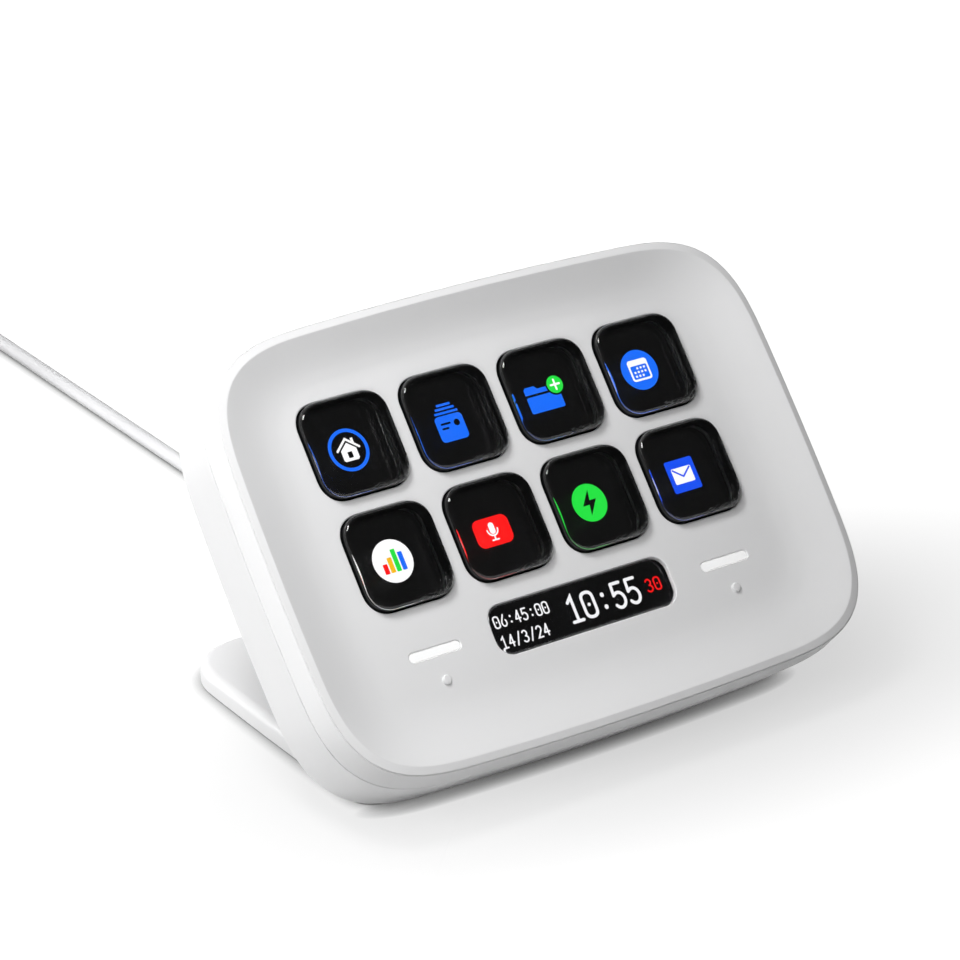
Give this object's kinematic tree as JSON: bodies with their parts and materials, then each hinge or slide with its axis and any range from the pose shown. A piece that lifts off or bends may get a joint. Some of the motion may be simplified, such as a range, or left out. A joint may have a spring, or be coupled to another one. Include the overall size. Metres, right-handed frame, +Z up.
{
  "type": "display macro keypad",
  "caption": "Slanted desk keypad with a rounded dished front, clear display keys in two rows, an info window, two touch bars, a low foot with a hollow neck, and a cord with a plug.",
  "frame": {"origin": "on the desk, under the centre of the keypad's box without its cord", "axes": "+Z up from the desk, -Y towards the user, +X to the user's right"},
  "size_m": [0.1072, 0.2943, 0.0695],
  "materials": {
    "white_plastic": "fine satin moulding",
    "clear_caps": "polished clear plastic, seen as dark",
    "clear_lens": "polished dark lens",
    "light_guides": "translucent white, satin",
    "pad_rubber": "fine matt non-slip rubber",
    "mat_rubber": "black silicone",
    "circuit_board": "solder mask",
    "display_glass": "black glass behind clear caps",
    "inner_plastic": "plain moulding",
    "ribbon_film": "polyimide film",
    "chip_black": "epoxy",
    "lamp_yellow": "small lamps",
    "steel": "plain steel",
    "cord_rubber": "soft light grey jacket",
    "tie_strap": "woven strap",
    "grip_plastic": "satin"
  },
  "bodies": {
    "housing": {"front_bezel": "white_plastic", "rear_shell": "white_plastic", "foot": "white_plastic", "info_lens": "clear_lens", "touch_bar_left": "light_guides", "touch_bar_right": "light_guides", "base_pad": "pad_rubber", "dome_mat": "mat_rubber", "key_board": "circuit_board", "main_board": "circuit_board", "key_display": "display_glass", "info_display": "display_glass", "display_tray": "inner_plastic", "board_socket": "inner_plastic", "display_ribbon": "ribbon_film", "board_chips": "chip_black", "touch_lamps": "lamp_yellow", "foot_weight": "steel", "case_screws": "steel", "board_screws": "steel", "foot_screws": "steel", "plug_shell": "steel", "cord": "cord_rubber", "cord_coil": "cord_rubber", "inner_lead": "cord_rubber", "cord_boot": "cord_rubber", "coil_tie": "tie_strap", "plug_grip": "grip_plastic"},
    "key_1": {"key_cap_1": "clear_caps"},
    "key_2": {"key_cap_2": "clear_caps"},
    "key_3": {"key_cap_3": "clear_caps"},
    "key_4": {"key_cap_4": "clear_caps"},
    "key_5": {"key_cap_5": "clear_caps"},
    "key_6": {"key_cap_6": "clear_caps"},
    "key_7": {"key_cap_7": "clear_caps"},
    "key_8": {"key_cap_8": "clear_caps"}
  },
  "joints": [
    {"name": "key_1_press", "type": "slide", "parent": "housing", "child": "key_1", "axis": [0, 0.7604, -0.6494], "range_m": [0, 0.001], "stiffness_N_per_m": 400, "springref_m": -0.001, "deforming": ["dome_mat"]},
    {"name": "key_2_press", "type": "slide", "parent": "housing", "child": "key_2", "axis": [0, 0.7604, -0.6494], "range_m": [0, 0.001], "stiffness_N_per_m": 400, "springref_m": -0.001, "deforming": ["dome_mat"]},
    {"name": "key_3_press", "type": "slide", "parent": "housing", "child": "key_3", "axis": [0, 0.7604, -0.6494], "range_m": [0, 0.001], "stiffness_N_per_m": 400, "springref_m": -0.001, "deforming": ["dome_mat"]},
    {"name": "key_4_press", "type": "slide", "parent": "housing", "child": "key_4", "axis": [0, 0.7604, -0.6494], "range_m": [0, 0.001], "stiffness_N_per_m": 400, "springref_m": -0.001, "deforming": ["dome_mat"]},
    {"name": "key_5_press", "type": "slide", "parent": "housing", "child": "key_5", "axis": [0, 0.7604, -0.6494], "range_m": [0, 0.001], "stiffness_N_per_m": 400, "springref_m": -0.001, "deforming": ["dome_mat"]},
    {"name": "key_6_press", "type": "slide", "parent": "housing", "child": "key_6", "axis": [0, 0.7604, -0.6494], "range_m": [0, 0.001], "stiffness_N_per_m": 400, "springref_m": -0.001, "deforming": ["dome_mat"]},
    {"name": "key_7_press", "type": "slide", "parent": "housing", "child": "key_7", "axis": [0, 0.7604, -0.6494], "range_m": [0, 0.001], "stiffness_N_per_m": 400, "springref_m": -0.001, "deforming": ["dome_mat"]},
    {"name": "key_8_press", "type": "slide", "parent": "housing", "child": "key_8", "axis": [0, 0.7604, -0.6494], "range_m": [0, 0.001], "stiffness_N_per_m": 400, "springref_m": -0.001, "deforming": ["dome_mat"]}
  ]
}
